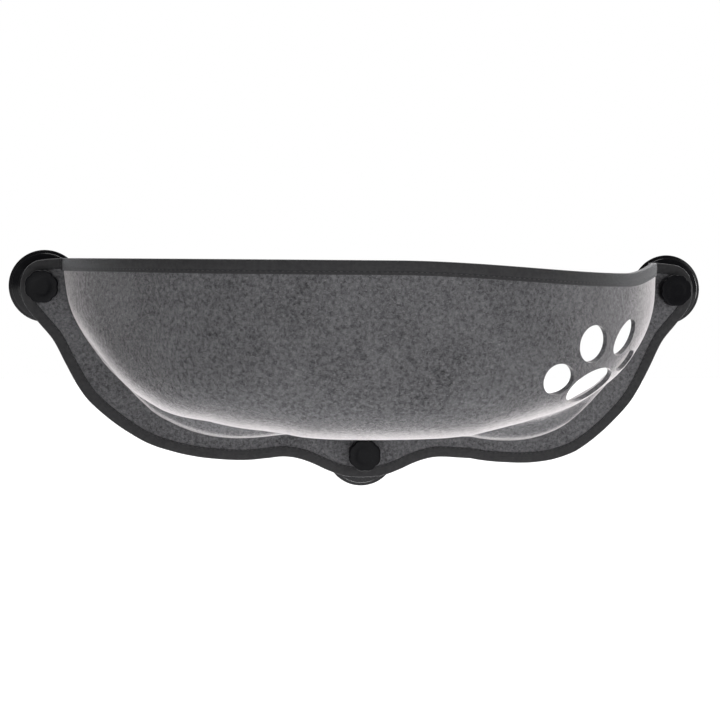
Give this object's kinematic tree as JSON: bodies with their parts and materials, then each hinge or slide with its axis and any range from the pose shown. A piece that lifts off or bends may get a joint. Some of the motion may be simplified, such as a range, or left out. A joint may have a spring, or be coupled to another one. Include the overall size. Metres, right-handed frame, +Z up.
{
  "type": "cat window hammock",
  "caption": "Moulded felt cat pod with a wavy bound flange and a paw print cut-out, hung on window glass by suction cups with lobed screw knobs.",
  "frame": {"origin": "on the window glass, midway between the axes of the upper suction cups; the glass is the plane Y = 0", "axes": "+X to the right and +Z up as seen from the room, +Y out through the glass; the pod stands out along -Y"},
  "size_m": [0.679, 0.2615, 0.2295],
  "materials": {
    "grey_felt": "mottled grey needle felt, matt",
    "dark_tape": "dark grey woven binding tape, matt",
    "black_rubber": "smooth, slightly glossy",
    "black_plastic": "satin moulded",
    "zinc_steel": "zinc plated",
    "brass": "plain"
  },
  "bodies": {
    "hammock": {"felt_shell": "grey_felt", "rim_binding": "dark_tape", "flange_binding": "dark_tape", "eyelet_left": "brass", "eyelet_right": "brass", "eyelet_lower": "brass"},
    "cup_left": {"suction_cup_left": "black_rubber", "stud_left": "zinc_steel"},
    "travel_left": {"washer_left": "black_plastic"},
    "knob_left": {"knob_left": "black_plastic", "knob_insert_left": "brass"},
    "cup_right": {"suction_cup_right": "black_rubber", "stud_right": "zinc_steel"},
    "travel_right": {"washer_right": "black_plastic"},
    "knob_right": {"knob_right": "black_plastic", "knob_insert_right": "brass"},
    "cup_lower": {"suction_cup_lower": "black_rubber", "stud_lower": "zinc_steel"},
    "travel_lower": {"washer_lower": "black_plastic"},
    "knob_lower": {"knob_lower": "black_plastic", "knob_insert_lower": "brass"}
  },
  "joints": [
    {"name": "cup_turn_left", "type": "hinge", "parent": "hammock", "child": "cup_left", "pos_m": [-0.305, 0, 0], "axis": [0, -1, 0], "continuous": true},
    {"name": "washer_travel_left", "type": "slide", "parent": "cup_left", "child": "travel_left", "axis": [0, -1, 0], "range_m": [0, 0.0061]},
    {"name": "knob_turn_left", "type": "hinge", "parent": "travel_left", "child": "knob_left", "pos_m": [-0.305, 0, 0], "axis": [0, -1, 0], "range_deg": [0, 1728]},
    {"name": "cup_turn_right", "type": "hinge", "parent": "hammock", "child": "cup_right", "pos_m": [0.305, 0, 0], "axis": [0, -1, 0], "continuous": true},
    {"name": "washer_travel_right", "type": "slide", "parent": "cup_right", "child": "travel_right", "axis": [0, -1, 0], "range_m": [0, 0.0061]},
    {"name": "knob_turn_right", "type": "hinge", "parent": "travel_right", "child": "knob_right", "pos_m": [0.305, 0, 0], "axis": [0, -1, 0], "range_deg": [0, 1728]},
    {"name": "cup_turn_lower", "type": "hinge", "parent": "hammock", "child": "cup_lower", "pos_m": [0, 0, -0.1605], "axis": [0, -1, 0], "continuous": true},
    {"name": "washer_travel_lower", "type": "slide", "parent": "cup_lower", "child": "travel_lower", "axis": [0, -1, 0], "range_m": [0, 0.0061]},
    {"name": "knob_turn_lower", "type": "hinge", "parent": "travel_lower", "child": "knob_lower", "pos_m": [0, 0, -0.1605], "axis": [0, -1, 0], "range_deg": [0, 1728]}
  ],
  "couplings": [
    {"joint": "washer_travel_left", "follows": "knob_turn_left", "m_per_rad": 0.00019894},
    {"joint": "washer_travel_right", "follows": "knob_turn_right", "m_per_rad": 0.00019894},
    {"joint": "washer_travel_lower", "follows": "knob_turn_lower", "m_per_rad": 0.00019894}
  ]
}
